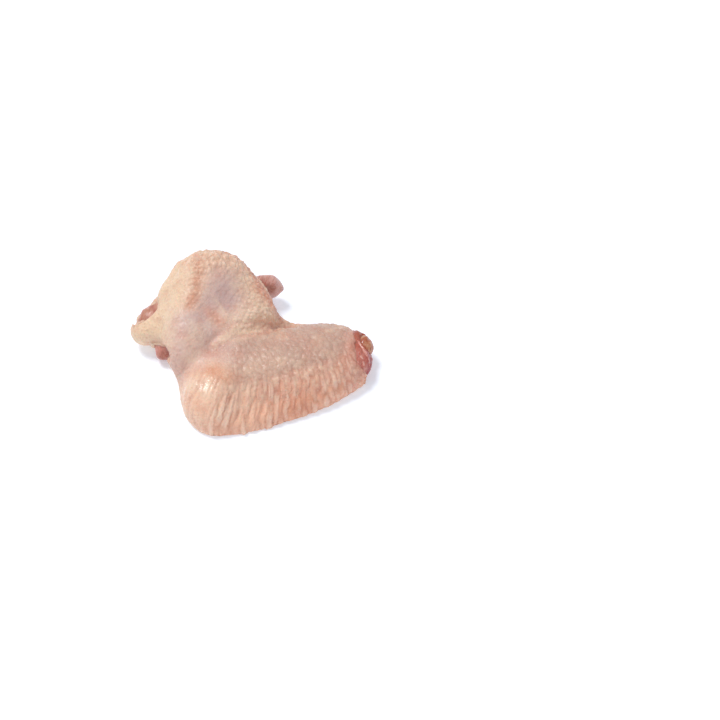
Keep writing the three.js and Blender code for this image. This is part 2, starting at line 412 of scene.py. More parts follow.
def cells(place, jitter, seed):
    """Cells round scattered middles, one for each unit: the distance to the nearest middle, how much
    further the next one is, and a number from 0 to 1 that belongs to the nearest."""
    size = place.shape[1]
    base = np.floor(place)
    first = np.full(len(place), np.inf)
    second = np.full(len(place), np.inf)
    own = np.zeros(len(place))
    for step in product((-1, 0, 1), repeat=size):
        cell = base + step
        lot = scatter(cell, seed)
        centre = cell + 0.5 + jitter * (lot[:, :size] - 0.5)
        centre[:, 0] += 0.5 * (cell[:, 1] % 2) - 0.25  # rows are staggered, as follicles are
        away = np.linalg.norm(place - centre, axis=1)
        closer = away < first
        second = np.where(closer, first, np.minimum(second, away))
        own = np.where(closer, lot[:, 0], own)
        first = np.where(closer, away, first)
    return first, second - first, own


def washed(colour, wash, amount):
    """Every point's colour, washed over with another by an amount at each point."""
    amount = np.clip(amount, 0, 1)[:, None]
    return colour * (1 - amount) + np.array(wash) * amount


print("the tools are ready")

# %% [markdown]
# ## The skin
# A plucked wing's skin changes from place to place. Over the upper arm it lies on fat, so it is thick, cream
# and nearly smooth, with crinkles on the crown. Between the upper arm and the web it is thin, and the muscle
# shows through as grey and plum. The web has goosebumps in rows. On the flat the follicles of the flight
# feathers raise the skin into long scales, which stretch into deep furrows over the trailing edge. The elbow
# is tight and shiny, with fine wrinkles.

# %% The sheath as clay
skin = clay("skin", "skin_sheath", voxel=0.42, smoothing=26)
ON_TABLE = 0.4  # mm above the table, or less
FACING_DOWN = -0.8  # the height of a normal that points down


def tree_of(mesh):
    """A mesh as a tree that finds the nearest place on it."""
    return BVHTree.FromPolygons([v.co for v in mesh.vertices], [p.vertices for p in mesh.polygons])


def away_from(node, xyz, reach):
    """How far each point is from a solid's surface, in mm, and at most reach."""
    tree = tree_of(node.data)
    nearest = (tree.find_nearest(Vector(point) * MM, reach * MM)[3] for point in xyz)
    return np.array([reach if gap is None else gap / MM for gap in nearest])


def of_faces(piece, what):
    """A vector for each face: its center or its normal."""
    vectors = np.empty(3 * len(piece.data.polygons), np.float32)
    piece.data.polygons.foreach_get(what, vectors)
    return vectors.reshape(-1, 3)


def drop_strays(piece):
    """Takes out a bubble that is flattened to one face twice: first one of the two, then the loose other."""
    piece.data.validate()
    edit(
        piece,
        (bpy.ops.mesh.select_all, {"action": "SELECT"}),
        (bpy.ops.mesh.delete_loose, {"use_faces": True}),
    )


def thin_out_hidden(piece, node, gap, share):
    """Makes the faces within gap mm of the solid behind them, and those on the table, few and large."""
    count = len(piece.data.polygons)
    middles = of_faces(piece, "center") / MM
    hidden = away_from(node, middles, gap) < gap
    hidden |= (middles[:, 2] < ON_TABLE) & (of_faces(piece, "normal")[:, 2] < FACING_DOWN)
    edit(piece, (bpy.ops.mesh.select_all, {"action": "DESELECT"}))
    piece.data.polygons.foreach_set("select", hidden)
    edit(piece, (bpy.ops.mesh.decimate, {"ratio": share}))
    drop_strays(piece)
    print(piece.name, "keeps", len(piece.data.polygons), "faces of", count)


thin_out_hidden(skin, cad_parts["flesh"], gap=1.2, share=0.05)

# %% Its cut edge, thinned
# How far a point of the skin is from the flesh, in mm, tells where in the skin's thickness it lies.
over_flesh = away_from(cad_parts["flesh"], points(skin), reach=6)
CUT_MIDDLE = (1.0, 1.9)  # mm from the flesh, in the middle of the cut edge
OUTER_FACE = (1.6, 2.4)  # mm from the flesh, where the outer face begins
THINNING = 0.9  # mm off the skin at its cut edge
THINNING_REACH = 3.5  # mm from the cut edge


def find_rim(xyz, over):
    """The middle of the skin's cut edge, apart from the table, as a tree that finds its nearest point."""
    low, high = CUT_MIDDLE
    found = xyz[(over > low) & (over < high) & (xyz[:, 2] > 1)]
    tree = KDTree(len(found))
    for i, point in enumerate(found):
        tree.insert(point, i)
    tree.balance()
    return tree


def away_from_rim(xyz):
    """How far each point is from the skin's cut edge, in mm."""
    return np.array([rim.find(point)[2] for point in xyz])


rim = find_rim(points(skin), over_flesh)
to_rim = away_from_rim(points(skin))
sculpt(skin, -THINNING * ramp(over_flesh, *OUTER_FACE) * bell(to_rim, THINNING_REACH))
print("the cut edge of the skin is thinned")

# %% Where things are on the wing, in mm
TRAILING_EDGE = np.array([[-16.5, -43.1], [52.5, -13.1]])  # along the table, from the elbow to the wrist
EDGE_LENGTH = np.linalg.norm(TRAILING_EDGE[1] - TRAILING_EDGE[0])
ALONG_EDGE = (TRAILING_EDGE[1] - TRAILING_EDGE[0]) / EDGE_LENGTH
FLAT_BORDER = [(-46, -20), (-22, -10), (-8, -7), (8, 5), (18, 14), (27, 23)]  # y and x where the flat begins
SEAM = [(15, 18, 7.2), (8, 11, 13.5), (5, 8.2, 13.4), (-4.4, -0.4, 17.9)]  # web meets flat
BEADED_SEAM = SEAM[:2]
FAT_BORDER = [(-22.4, 29.1, 34), (-24.2, 16.1, 29.6), (-26.5, 8.7, 27.8)]  # where the arm's fat ends
ORANGE_PATCH = [(-16.5, 7.1, 22.9), (-14, 5, 21.5)]  # a lone island of that fat
TENDON = [(-17, 15, 27), (-13.6, 11.9, 23.5), (-10, 7.9, 21.3)]  # under the skin, inside the elbow
CROWN = [(-25, 33, 33), (-16, 31, 34), (-6, 37, 28)]  # the top of the drumette
ELBOW = [(-17, -28, 17.6), (-26, -27, 13), (-27, -35, 8), (-22, -41, 4)]
UPPER_MUSCLE = [(-12.3, 22.4, 31.3), (-13.6, 17.5, 28.1), (-11.4, 14.7, 24.4)]  # seen through thin skin
LOWER_MUSCLE = [(-13, 15, 26), (-20, 5, 25), (-27, -1, 26), (-26, -8, 22), (-28, -15, 15)]
FLAP_RIM = [(-53, 10, 12), (-48, 14, 17), (-44, 17, 19.5)]  # the skin's edge above the meat at the left
LOW_TEAR = [(-38.6, -2.6, 7.5), (-38.5, -4.4, 11.2), (-37.8, -7, 13.8), (-36.6, -9.4, 14.4)]
DRUMETTE_SIDE = [(-36, 28.8, 27), (-34, 32, 28.6), (-30.5, 35, 30)]
DRUMETTE_BULGE = (-40, 22.5, 21)
WET_ELBOW = [(-26, -27, 13), (-17, -28, 17.6)]
WET_CROWN = (-17, 30, 34)


def along_and_in(xyz):
    """How far a point is along the trailing edge from the elbow, and how far in from it."""
    plan = xyz[:, :2] - TRAILING_EDGE[0]
    return plan @ ALONG_EDGE, plan @ [-ALONG_EDGE[1], ALONG_EDGE[0]]


def climb(inward, height):
    """How far up the flat's side a point is, by its way in from the edge and its height."""
    return 0.7 * inward + height


def on_flat(xyz):
    """1 on the flat, 0 on the drumette and the web."""
    y, x = np.array(FLAT_BORDER).T
    return ramp(xyz[:, 0] - np.interp(xyz[:, 1], y, x), -2, 4)


# %% What the relief is made of
AT_ENDS = [0, EDGE_LENGTH]  # of the trailing edge, from the elbow
AT_STEPS = [0, 40, EDGE_LENGTH]  # with one more, 40 mm along it
FURROW_LEAN = [0.95, -0.05]  # mm along the edge for each mm in from it, at its ends
FURROW_LEANS_TO = 17  # mm in from the edge
FURROW_PITCH = [3.3, 2.6]  # mm from ridge to ridge, at the ends
FURROW_LENGTH = [24, 17, 5.5]  # mm, at the elbow, 35 mm along and at the wrist
SCALE_LENGTH, SCALE_WIDTH = 3.8, 2.5  # mm
BUMP_RADIUS = 0.62  # of a goosebump, in a cell of one unit

# Heights in mm
RIDGE_HEIGHT = [1.05, 0.95, 0.5]  # of the furrows, at the steps along the edge
SCALE_HEIGHT = [0.22, 0.46]  # at the elbow, and from 25 mm along
STREAK_HEIGHT = 0.13
WEB_BUMP_HEIGHT = 0.7
ARM_BUMP_HEIGHT = 0.12
EXTRA_ON_FAT = 0.18  # more for the bumps on the fat arm
CRINKLE_HEIGHT = 1.5
BEAD_HEIGHT = 1.1
SEAM_BEAD_HEIGHT = 0.9
TENDON_HEIGHT = 0.5
SEAM_DEPTH = 0.35
SMALL_SWELL, LARGE_SWELL = 0.16, 0.3
WRINKLE_HEIGHT = 0.24


def rounded(gap, soft):
    """A ridge between valleys: steep beside them and round on top."""
    return 1 - (1 - np.clip(gap / soft, 0, 1)) ** 2


def crumpled(xyz, amount):
    """The same points shaken out of line a little, so that no border between two cells is straight."""
    shakes = [noise(xyz / 2.6, seed=50 + i) + 0.5 * noise(xyz / 1.1, seed=60 + i) for i in range(3)]
    return xyz + amount * np.stack(shakes, axis=1)


def furrows(xyz):
    """Long ridges over the trailing edge, which lean back at the elbow and straighten towards the wrist,
    with smaller ones between them. Gives the ridges and how high each one is, both from 0 to 1."""
    along, inward = along_and_in(crumpled(xyz, 0.4))
    lean = np.interp(along, AT_ENDS, FURROW_LEAN) * np.minimum(inward, FURROW_LEANS_TO)
    across = along - lean + 1.2 * noise(xyz / 9, seed=1)
    up = climb(inward, xyz[:, 2]) / np.interp(along, [0, 35, EDGE_LENGTH], FURROW_LENGTH)
    pitch = np.interp(along, AT_ENDS, FURROW_PITCH)
    _, gap, own = cells(np.stack([up, across / pitch], axis=1), 0.5, seed=1)
    _, small, _ = cells(np.stack([1.8 * up, across / 1.5], axis=1), 0.5, seed=11)
    return 0.75 * rounded(gap, 0.7) + 0.25 * rounded(small, 0.7), own


def over_scales(along, inward, height):
    """How far a point is up the rows of scales, and across them."""
    return 0.85 * inward + 0.6 * height, along + 0.12 * inward


def scales(xyz):
    """Short scales on top of the flat, and how high each one is, both from 0 to 1."""
    along, inward = along_and_in(crumpled(xyz, 0.55))
    up, across = over_scales(along, inward, xyz[:, 2])
    _, gap, own = cells(np.stack([up / SCALE_LENGTH, across / SCALE_WIDTH], axis=1), 0.75, seed=2)
    return rounded(gap, 0.8), own


def goosebumps(xyz, size, seed):
    """Round bumps, one for each cell of size mm, some lower than others."""
    first, _, own = cells(xyz / size, 0.55, seed)
    return np.clip(1 - (first / BUMP_RADIUS) ** 2, 0, 1) * (0.55 + 0.45 * own)


# %% [markdown]
# ### Three kinds of relief
# The skin's relief comes in three kinds, and each part of the skin takes its share of them. Every kind gives
# three numbers for a point: its height in mm, how much it lies in a valley, which is painted darker as shade
# and for the blood that gathers there, and how high it stands on the crests, which are painted paler as a
# highlight.

# %% Its relief
def skin_parts(xyz):
    """How much a point belongs to each part of the skin, from 0 to 1."""
    _, inward = along_and_in(xyz)
    flat = on_flat(xyz)
    up = climb(inward, xyz[:, 2]) + 3 * noise(xyz / 6, seed=15)
    return {
        "flat": flat,
        "edge": flat * (1 - ramp(up, 14, 29)),
        "top": flat * ramp(up, 12, 24),
        "web": (1 - flat) * ramp(xyz[:, 0], -12, 0) * ramp(xyz[:, 1], -2, 8),
        "crown": near(xyz, CROWN, 8),
        "fat arm": ramp(-xyz[:, 0], 22, 34),
        "fat beads": np.maximum(near(xyz, FAT_BORDER, 3.2), 0.5 * near(xyz, ORANGE_PATCH, 3)),
        "seam": near(xyz, SEAM, 2.6),
        "seam beads": near(xyz, BEADED_SEAM, 2.4),
        "elbow": near(xyz, ELBOW, 8.5),
    }


def flat_relief(xyz, part):
    """Furrows over the trailing edge, and scales with fine streaks on top of the flat."""
    along, inward = along_and_in(xyz)
    edge, top = part["edge"], part["top"]
    ridge, ridge_own = furrows(xyz)
    scale, scale_own = scales(xyz)
    up, across = over_scales(along, inward, xyz[:, 2])
    streaks = noise(np.stack([up / 4, across / 1.3], axis=1), seed=12)
    patchy = 0.65 + 0.45 * noise(xyz / 3.5, seed=14)
    relief = edge * (ridge * (0.5 + 0.6 * ridge_own) - 0.5) * np.interp(along, AT_STEPS, RIDGE_HEIGHT)
    relief += top * (scale * (0.5 + 0.6 * scale_own) - 0.5) * np.interp(along, [0, 25], SCALE_HEIGHT)
    relief += (top + 0.5 * edge) * STREAK_HEIGHT * streaks
    valley = (edge * (1 - ridge) + top * (1 - scale) * 0.42) * patchy
    # the tops of the ridges, painted paler later as a highlight
    crest_highlight = edge * ramp(ridge * (0.4 + 0.8 * ridge_own), 0.45, 0.9)
    return relief, valley, crest_highlight


def arm_relief(xyz, part):
    """Goosebumps on the web and the drumette, crinkles on its crown, beads of fat, and a tendon."""
    names = ("web", "crown", "fat beads", "seam beads")
    web, crown, beaded, seam_beaded = (part[name] for name in names)
    web_bumps = goosebumps(xyz, size=2.1, seed=3)
    arm_bumps = goosebumps(xyz, size=1.7, seed=4)
    crinkles = goosebumps(crumpled(xyz, 0.7) * (1, 0.6, 1), size=2.2, seed=6)
    beads = goosebumps(xyz, size=2.3, seed=7)
    seam_beads = goosebumps(xyz, size=2.3, seed=8)
    on_arm = (1 - part["flat"]) * (1 - web)
    relief = web * web_bumps * WEB_BUMP_HEIGHT
    relief += on_arm * arm_bumps * (ARM_BUMP_HEIGHT + EXTRA_ON_FAT * part["fat arm"])
    relief += crown * (1 - 0.6 * web) * crinkles * CRINKLE_HEIGHT
    relief += beaded * (beads - 0.4) * BEAD_HEIGHT
    relief += near(xyz, TENDON, 1.1) * TENDON_HEIGHT - part["seam"] * SEAM_DEPTH
    relief += seam_beaded * seam_beads * SEAM_BEAD_HEIGHT
    valley = beaded * (0.9 - beads) * 0.6 + crown * (0.6 - crinkles) * 0.7 - seam_beaded * 0.5
    crest_highlight = 0.8 * web * ramp(web_bumps, 0.3, 0.7) + 0.9 * crown * ramp(crinkles, 0.35, 0.7)
    return relief, valley, crest_highlight


def soft_relief(xyz, part):
    """Slow swells everywhere, and fine wrinkles on the elbow that run as the furrows do."""
    along, inward = along_and_in(xyz)
    leaning = along - FURROW_LEAN[0] * inward
    wrinkles = noise(np.stack([climb(inward, xyz[:, 2]) / 4.5, leaning / 1.3], axis=1), seed=13)
    relief = SMALL_SWELL * noise(xyz / 3.1, seed=9) + LARGE_SWELL * noise(xyz / 9, seed=10)
    relief += part["elbow"] * WRINKLE_HEIGHT * wrinkles
    valley = part["elbow"] * ramp(-wrinkles, 0.1, 0.7) * 0.4
    return relief, valley, np.zeros(len(xyz))


def skin_relief(xyz):
    """The three kinds added up, with valleys and crests calmer towards the wrist."""
    part = skin_parts(xyz)
    kinds = [kind(xyz, part) for kind in (flat_relief, arm_relief, soft_relief)]
    relief, valley, crest_highlight = (sum(shares) for shares in zip(*kinds))
    along, _ = along_and_in(xyz)
    calm = np.interp(along, AT_STEPS, [1, 0.85, 0.6])
    return relief, np.clip(valley * calm, 0, 1), np.clip(crest_highlight * calm, 0, 1)


# %% Openings that show the meat, and the drumette's outline
at_flap = ramp(near(points(skin), FLAP_RIM, 5.5), 0.2, 0.6) * ramp(-to_rim, -4, -2.2)
push(skin, (0.3, -1.9, -1.7), at_flap)  # down, so the meat above shows
at_tear = ramp(near(points(skin), LOW_TEAR, 3.4), 0.25, 0.7)
push(skin, (3.4, 1.6, -0.9), at_tear)  # drawn back from the low lump
push(skin, (1.4, -0.8, -1.1), near(points(skin), DRUMETTE_SIDE, 4.5))  # pressed in
push(skin, (-1.0, 0, 0.4), spot(points(skin), DRUMETTE_BULGE, 5))  # and out below

# %% The relief on the clay
raised, valley, crest_highlight = skin_relief(points(skin))
sculpt(skin, raised)
paint(skin, "valley", valley)
paint(skin, "crest_highlight", crest_highlight)
print("the skin rises and falls by", round(float(np.ptp(raised)), 2), "mm")

# %% Its colours
CREAM = srgb(249, 217, 190)
YELLOW_FAT = srgb(240, 205, 166)
PLUM = srgb(205, 169, 161)
LILAC = srgb(219, 187, 179)
GREY_ROSE = srgb(201, 165, 147)
STRAW = srgb(226, 189, 163)
PEACH = srgb(249, 192, 160)
PALE_PEACH = srgb(255, 210, 182)
DEEP_PEACH = srgb(232, 160, 126)
ORANGE = srgb(226, 156, 120)
ROSE = srgb(214, 156, 138)
BLOOD = srgb(172, 92, 78)
RIM_RED = srgb(192, 118, 102)
FAT = srgb(240, 206, 178)
TORN_BROWN = srgb(196, 136, 110)

WASHES = [  # a colour, how strong, how wide in mm, and the path it runs along
    # the web, the muscles under thin skin, and small veins on them
    (STRAW, 0.65, 10, [(-6, 31, 30), (3, 20, 21), (12, 20, 8)]),
    (PLUM, 0.9, 6.5, UPPER_MUSCLE),
    (LILAC, 0.95, 8, LOWER_MUSCLE),
    (LILAC, 0.85, 9, [(-16, -4, 19), (-11, -11, 18), (-22, -11, 18), (-24, -16, 16)]),
    (PLUM, 0.5, 3.5, [(-11.4, 14.7, 24.4), (-12.7, 13.3, 24)]),
    (ROSE, 0.5, 3.5, [(-27.2, -7, 23.5), (-29, -6, 23.5)]),
    (ROSE, 0.55, 2.6, [(-18.2, -10.4, 17.3), (-12, -12, 18), (-5, -11, 17.5)]),
    # fat, the tendon and the crown
    (ORANGE, 0.5, 4, ORANGE_PATCH),
    (CREAM, 0.45, 0.9, TENDON),
    (ORANGE, 0.55, 3, FAT_BORDER),
    (ORANGE, 0.25, 8, [(-24, 31, 33), (-13, 32, 33), (-8, 38, 28)]),
    # the elbow
    (PEACH, 0.9, 12, [(-24, -28, 14), (-20, -36, 13), (-14, -42, 5)]),
    (CREAM, 0.7, 6, [(-24.6, -25, 14.7), (-17.2, -28.4, 17.6)]),
    (ORANGE, 0.75, 5, [(-15.3, -20.8, 17.9), (-10.8, -23.6, 17.9)]),
    # the low tear, the top of the flat and its end at the wrist
    (ROSE, 0.5, 5, [(-37.7, -6.8, 15), (-31, -15, 8)]),
    (ROSE, 0.45, 5, [(16, 0, 16.5), (24, -3, 17)]),
    (ROSE, 0.6, 5, [(47, 4, 13), (46, -6, 14), (47, -16, 10), (46, -20, 7)]),
    (BLOOD, 0.55, 2, [(48.5, 4, 13), (47.5, -6, 14), (49, -16, 10)]),
    # the web's free edge
    (RIM_RED, 0.75, 3.2, [(-15, 40.5, 29.2), (-8.3, 39, 27.4), (0.9, 31.9, 22.4), (4.6, 25.9, 20.1)]),
    (RIM_RED, 0.7, 2.6, [(4.6, 25.9, 20.1), (8.3, 21.2, 17.2), (12.7, 18.9, 8.8)]),
    # the trailing edge: rose, and its own orange along the foot, made stronger there as painted shade by the
    # table
    (ROSE, 0.35, 6, [(14, -30, 4), (30, -23, 4), (42, -17, 4)]),
    (ORANGE, 0.65, 5.5, [(10, -31, 2), (24, -25, 2), (40, -18, 2)]),
    # lighter and warmer places all over
    (CREAM, 0.4, 7, [(-20, 32, 33.5), (-8, 36, 29)]),
    (PALE_PEACH, 0.55, 8, [(-25, -37, 7), (-12.6, -40.1, 10.5), (-2.4, -34, 10)]),
    (CREAM, 0.4, 6, [(-10, -34, 11), (2, -30, 12)]),
    (STRAW, 0.4, 8, [(-3, -18, 16.7), (8, -18, 16.6)]),
    (DEEP_PEACH, 0.55, 7, [(18.5, -35.3, 4.5), (29, -26.8, 10.7)]),
    (DEEP_PEACH, 0.55, 4.5, [(1, 27, 22), (6.5, 22.7, 19), (9, 20, 16)]),
    # lighter where the drumette's side curves away: painted light against the shade there
    (CREAM, 0.5, 5, [(-24, -3, 23), (-24.2, -8.1, 21.4), (-25, -13, 18)]),
    (GREY_ROSE, 0.5, 5.5, [(-14, -5.4, 18.2), (-3.3, -5, 17.7)]),
    (GREY_ROSE, 0.6, 7, [(18, -6, 17), (29, -6, 16.5), (29, -16, 15.5)]),
    (STRAW, 0.5, 4.5, [(6.8, 11.3, 15.4), (11, 8, 15)]),
    # torn edges
    (BLOOD, 0.7, 2.5, LOW_TEAR),
    (TORN_BROWN, 0.6, 2, FLAP_RIM),
]


def patches(xyz, size, seed, low, high):
    """Patches of about size mm, from 0 to 1, where noise rises from low to high."""
    return ramp(noise(xyz / size, seed), low, high)


def skin_colours(xyz):
    """A ground for each part, patches and washes on it, and at last the cut edge."""
    flat = on_flat(xyz)
    _, inward = along_and_in(xyz)
    up = climb(inward, xyz[:, 2])
    lower = flat * (1 - ramp(up, 12, 26))
    furrowed = flat * (1 - ramp(up + 2.5 * noise(xyz / 5, seed=20), 13, 24))
    fat_arm = ramp(-xyz[:, 0], 22, 34) * (1 - flat)
    colour = washed(np.tile(CREAM, (len(xyz), 1)), GREY_ROSE, 0.95 * flat)
    colour = washed(colour, PEACH, 0.85 * furrowed)
    colour = washed(colour, YELLOW_FAT, 0.5 * fat_arm)
    colour = washed(colour, ORANGE, 0.45 * lower * patches(xyz, size=4.5, seed=23, low=0.1, high=0.7))
    colour = washed(colour, ROSE, 0.4 * lower * patches(xyz, size=4, seed=24, low=0.15, high=0.7))
    upper = flat - lower
    colour = washed(colour, STRAW, 0.7 * upper * patches(xyz, size=5, seed=25, low=0, high=0.6))
    ragged = 1 + 0.25 * noise(xyz / 4, seed=21)
    for wash, strength, width, path in WASHES:
        colour = washed(colour, wash, strength * near(xyz, path, width) * ragged)
    colour = washed(colour, ROSE, 0.45 * bell(to_rim, 2.5) * ramp(xyz[:, 2], 2, 5))
    cut = 1 - ramp(over_flesh + 0.3 * noise(xyz / 1.5, seed=22), 1.5, 2.2)
    colour = washed(colour, FAT, 0.8 * cut)
    return washed(colour, RIM_RED, 0.75 * cut * ramp(xyz[:, 0], 38, 44))


def paint_skin(xyz):
    """Everything that the skin's material reads besides valleys and crests."""
    thin = np.clip(near(xyz, LOWER_MUSCLE, 9) + near(xyz, UPPER_MUSCLE, 7), 0, 1)
    wet = near(xyz, WET_ELBOW, 6) + 0.15 * spot(xyz, WET_CROWN, 8)
    paint(skin, "colour", skin_colours(xyz))
    paint(skin, "thin", thin)
    paint(skin, "wet", np.clip(wet, 0, 1))
    paint(skin, "grain_and_glints", (1 - 0.7 * thin) * (1 - 0.5 * on_flat(xyz)))


paint_skin(points(skin))

# %% Its finish
PALE_CLOUD = srgb(250, 226, 200)
RED_CLOUD = srgb(206, 140, 118)
PALE_MUSCLE = srgb(226, 196, 186)
DARK_MUSCLE = srgb(176, 130, 124)
VALLEY_SHADE_AND_BLOOD = srgb(170, 90, 66)
CREST_HIGHLIGHT = srgb(250, 222, 200)
PORE_BROWN = srgb(186, 122, 100)
PAINTED_GLINT = srgb(255, 236, 214)


def skin_finish():
    """Clouds, the pores of its grain with painted glints among them, painted shade in the valleys, painted
    highlights on the crests, streaks where muscle shows through, and a moist coat.
    """
    cover = Finish("chicken_skin")
    place = cover.place()
    clouds = cover.cloudy(cover.stretched(place, (6, 6, 6)), detail=4)
    grain = cover.cloudy(cover.stretched(place, (1.1, 1.1, 1.1)), roughness=0.65)
    glint_and_bump_dots = cover.cloudy(cover.stretched(place, (0.7, 0.7, 0.7)), detail=1)
    streaks = cover.cloudy(cover.stretched(place, (5, 0.9, 5), turn=(0, 0, 50)))
    pebbles = cover.pebbly(cover.stretched(place, (1.5, 1.5, 1.5)))
    valley, thin, wet, grain_and_glints = (cover.painted(name) for name in ("valley", "thin", "wet", "grain_and_glints"))
    # the pores darken more in the valleys, as part of the painted shade there
    pores = grain.between(0.52, 0.72) * (0.15 + 0.15 * grain_and_glints + 0.2 * valley)
    colour = cover.painted("colour", "Color")
    colour = cover.tinted(colour, PALE_CLOUD, clouds.between(0.5, 0.75) * 0.3)
    colour = cover.tinted(colour, RED_CLOUD, clouds.between(0.5, 0.28) * 0.3)
    colour = cover.tinted(colour, PALE_MUSCLE, thin * streaks.between(0.52, 0.7) * 0.4)
    colour = cover.tinted(colour, DARK_MUSCLE, thin * streaks.between(0.5, 0.3) * 0.25)
    # valleys painted darker brown: painted shade, with the blood that gathers there
    colour = cover.tinted(colour, VALLEY_SHADE_AND_BLOOD, valley * 0.5)
    # crests painted paler: a painted highlight
    colour = cover.tinted(colour, CREST_HIGHLIGHT, cover.painted("crest_highlight") * 0.4)
    colour = cover.tinted(colour, PORE_BROWN, pores)
    # small pale dots: painted glints
    colour = cover.tinted(colour, PAINTED_GLINT, glint_and_bump_dots.between(0.55, 0.75) * grain_and_glints * 0.36)
    fine = (grain * 0.6 + pebbles * -0.5 + glint_and_bump_dots * 0.3) * (0.5 + 0.6 * grain_and_glints)
    return cover.done(
        Base_Color=colour,
        Roughness=0.44 - wet * 0.18 + grain * 0.12,
        Coat_Weight=0.15 + wet * 0.32,
        Coat_Roughness=0.14,
        Subsurface_Weight=0.18,
        Subsurface_Radius=(1.0, 0.4, 0.25),
        Subsurface_Scale=1.5 * MM,
        IOR=1.4,
        Normal=cover.bumpy(fine, 0.46),
    )


skin.data.materials.append(skin_finish())
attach(skin, "root")
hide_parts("skin")
print("the skin is done")

# %% [markdown]
# ## The flesh
# Meat shows where the skin ends: the cut muscles of the shoulder at the back, a tongue of breast meat that
# stayed on the wing, a low lump under the flap on the left, and the stump in the wrist. Raw muscle is pink
# and wet, in fine strands, and here and there it keeps a milky film. The deepest red is at the wrist, beside
# the bone, and a ragged border of fat clings to the meat below the skin's cut edge.

# %% The meat as clay
flesh = clay("flesh", "wing_flesh", voxel=0.55, smoothing=14)
thin_out_hidden(flesh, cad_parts["skin"], gap=0.5, share=0.08)

# %% Where things are on the meat, in mm
MEAT_TONGUE = [(-4, 34, 9), (6, 36, 9.5), (14, 38, 10)]  # of breast meat, at the back
HOLLOW = [(0, 35, 17), (4.2, 34.7, 15.9), (7.5, 32, 12)]  # in the tongue
WRIST = (49, -5, 8)  # the middle of the stump
WRIST_REACH = 14  # from that middle, to where the stump's look fades
WRIST_CHUNK = [(47.5, 7, 11.5), (48.8, 4.4, 12.4), (50.3, 2.2, 13)]  # a scrap of muscle over the knuckle
JOINT_HEAD = (-13, 38.5, 9.5)  # the middle of the shoulder joint's head
COLLAR_RADIUS = 8.5  # of the meat that swells round that head
CLEFTS = [  # where two muscles lie side by side
    [(-27, 33, 19), (-25, 38, 12), (-25, 37, 3)],
    [(-3, 35, 17), (-3, 38, 10), (-4, 36, 3)],
    [(-38, 26, 16), (-37, 29, 9), (-37, 27, 3)],
]
CUT_EDGE = [  # of the skin, at the back, from left to right
    (-39.5, 25.5, 16.3),
    (-36, 28, 17),
    (-30, 33, 18),
    (-24, 36.3, 18.5),
    (-16, 38, 18.8),
    (-9, 38, 18),
]


# %% Its relief
def strands(xyz, along, width, length, seed):
    """Long thin swells that run along a direction."""
    axis = np.array(along, float) / np.linalg.norm(along)
    run = xyz @ axis
    side = xyz - run[:, None] * axis
    return noise(side / width + run[:, None] * axis / length, seed)


def clinging_fat(xyz):
    """Fat that stayed on the meat below the skin's cut edge at the back, from 0 to 1."""
    ragged = 3.0 + 1.9 * noise(xyz / 2.6, seed=74) + 0.7 * noise(xyz / 1.1, seed=75)
    return ramp(ragged - away_from_rim(xyz), 0, 0.8) * ramp(near(xyz, CUT_EDGE, 7), 0.3, 0.6)


def meat_relief(xyz):
    """Strands that run each muscle's own way, clefts between muscles, lumps at the cuts, and fat."""
    wrist = spot(xyz, WRIST, WRIST_REACH)
    tongue = near(xyz, MEAT_TONGUE, 9)
    shoulder = (1 - wrist) * (1 - tongue)
    fibres = shoulder * strands(xyz, (0.25, 1, -0.3), width=1.1, length=12, seed=30)
    fibres += tongue * strands(xyz, (1, 0.2, 0.1), width=1.1, length=10, seed=31)
    fibres += wrist * 1.3 * strands(xyz, (0.7, -0.4, 0.6), width=1.0, length=8, seed=32)
    clefts = sum(near(xyz, cleft, 1.5) for cleft in CLEFTS)
    collar = bell(np.linalg.norm(xyz - np.array(JOINT_HEAD), axis=1) - COLLAR_RADIUS, 1.6)
    chunk = 1.9 * near(xyz, WRIST_CHUNK, 2.4)
    swell = 0.5 * noise(xyz / 4.5, seed=33) - 1.3 * near(xyz, HOLLOW, 2.6) - 0.9 * clefts + collar
    fat = clinging_fat(xyz) * (0.55 + 0.3 * noise(xyz / 1.4, seed=73))
    return 0.55 + 0.26 * fibres + swell + chunk + fat


sculpt(flesh, meat_relief(points(flesh)))

# %% Its colours
RAW_PINK = srgb(216, 152, 138)
PALE_MEAT = srgb(222, 184, 174)
RUST = srgb(182, 80, 50)
CRIMSON = srgb(160, 40, 42)
BROWN_RED = srgb(168, 96, 72)
MILKY = srgb(236, 196, 184)
STRAND_PINK = srgb(228, 156, 142)

